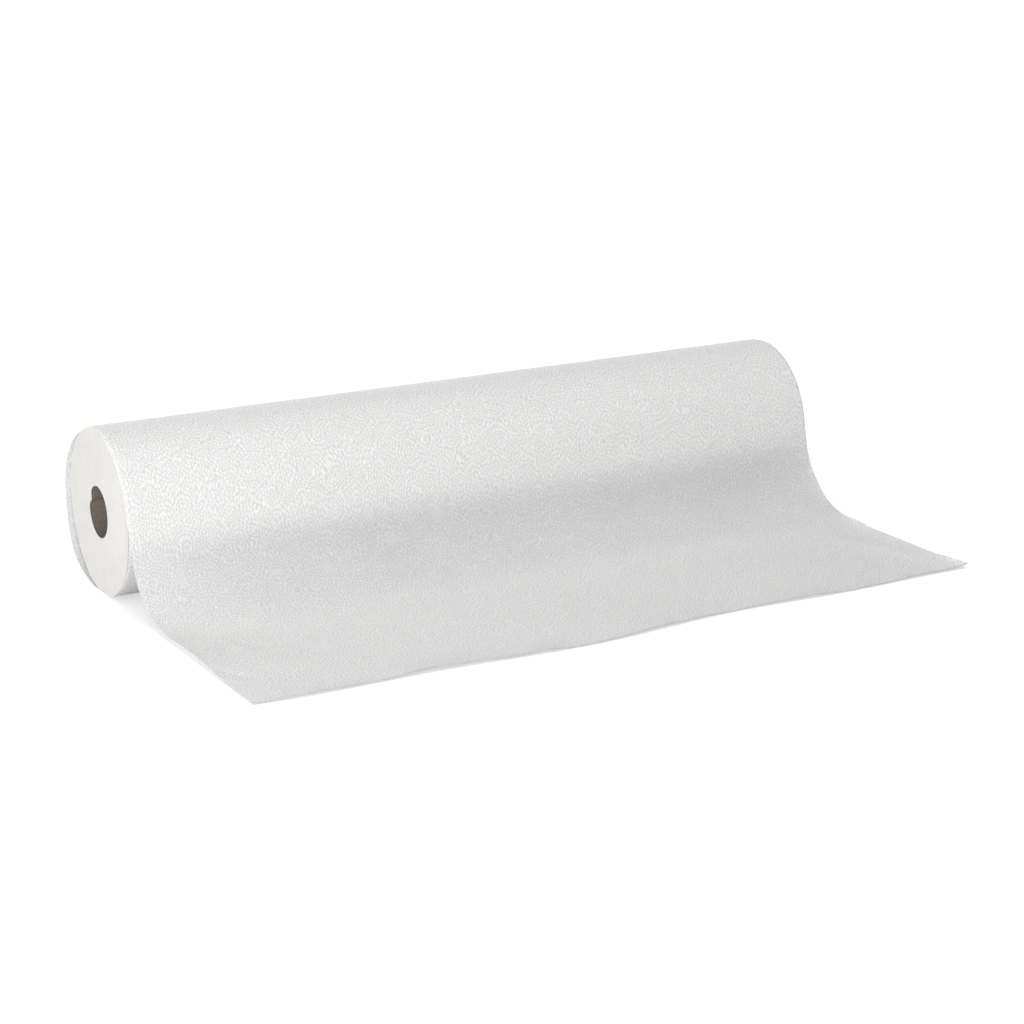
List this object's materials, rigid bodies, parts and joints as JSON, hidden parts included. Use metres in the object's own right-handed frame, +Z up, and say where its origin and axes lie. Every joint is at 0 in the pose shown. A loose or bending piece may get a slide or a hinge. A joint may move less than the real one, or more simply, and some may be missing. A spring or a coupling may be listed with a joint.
{
  "type": "exam table paper roll",
  "caption": "Wound roll of embossed two-ply couch paper on an open cardboard core, lying on its side with a loose outer turn and its free end pulled out flat.",
  "frame": {"origin": "on the table, in the middle of the flat spot under the roll, half way along it", "axes": "+X along the roll and its core, +Z up, and the free end of the paper lies toward -Y"},
  "size_m": [0.5, 0.3203, 0.1084],
  "materials": {
    "embossed_tissue": "matt, embossed",
    "core_board": "matt"
  },
  "bodies": {
    "root": {"paper_web": "embossed_tissue", "core_tube": "core_board"}
  },
  "joints": []
}
